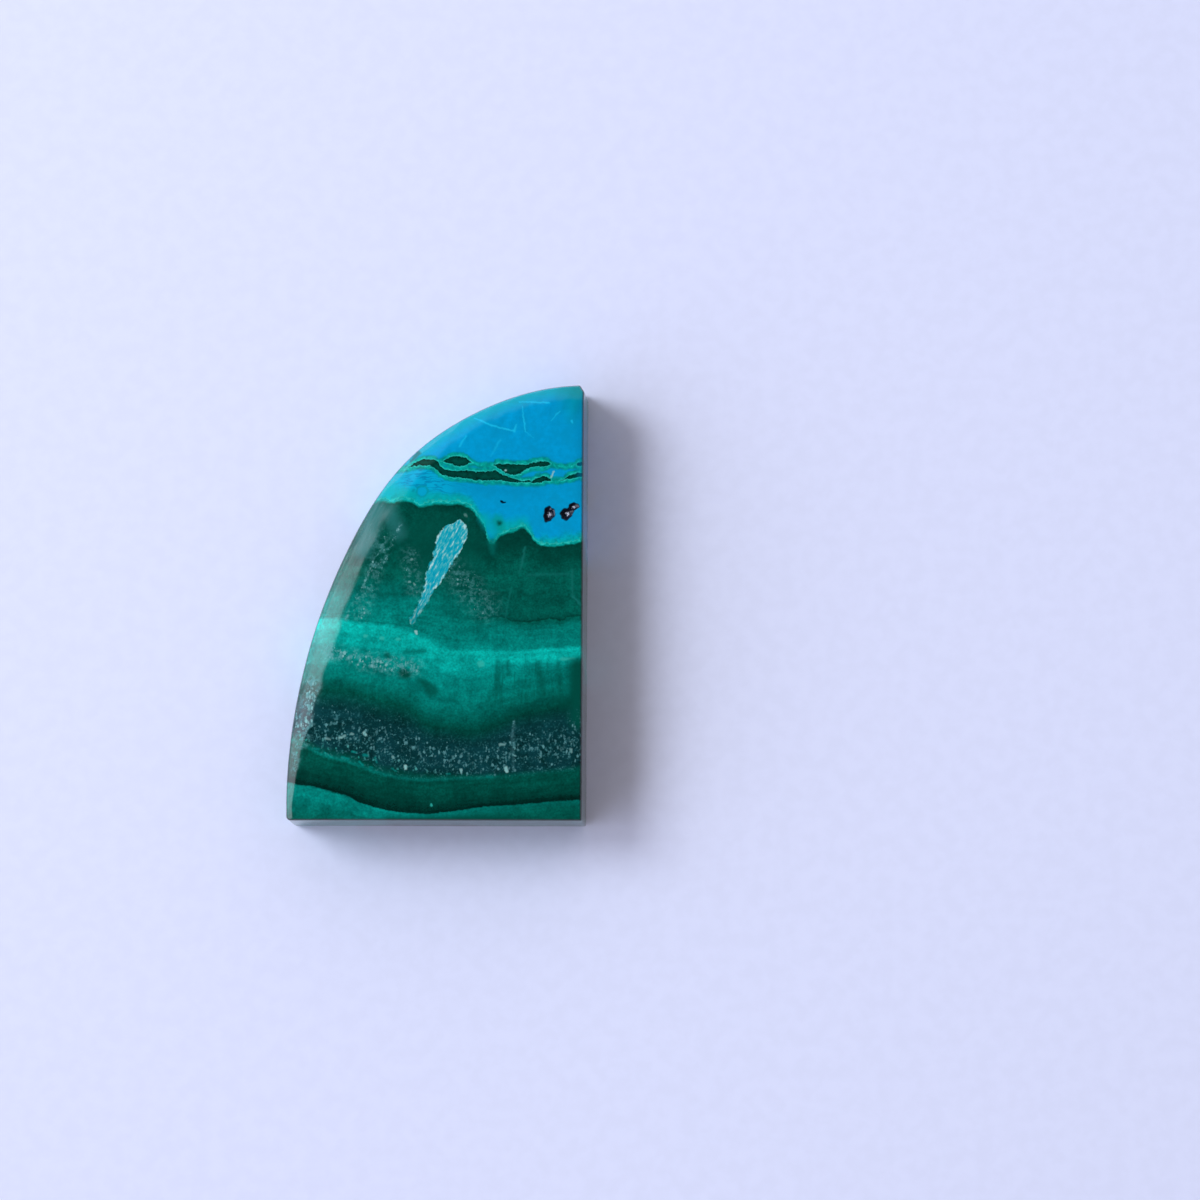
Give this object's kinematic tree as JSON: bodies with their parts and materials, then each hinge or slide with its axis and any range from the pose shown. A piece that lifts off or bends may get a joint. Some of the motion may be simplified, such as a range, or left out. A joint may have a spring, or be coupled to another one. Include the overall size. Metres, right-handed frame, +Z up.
{
  "type": "chrysocolla specimen",
  "caption": "Polished flat-backed cabochon of banded blue and green chrysocolla with malachite, in a quarter-ellipse outline, lying face up.",
  "frame": {"origin": "under the middle of the stone's box, on the plane of its flat back", "axes": "+Z up, out of the polished face; +Y towards the narrow end; the long straight side is at +X"},
  "size_m": [0.0204, 0.0302, 0.005],
  "materials": {
    "stone": "polished"
  },
  "bodies": {
    "root": {"polished_stone": "stone"}
  },
  "joints": []
}
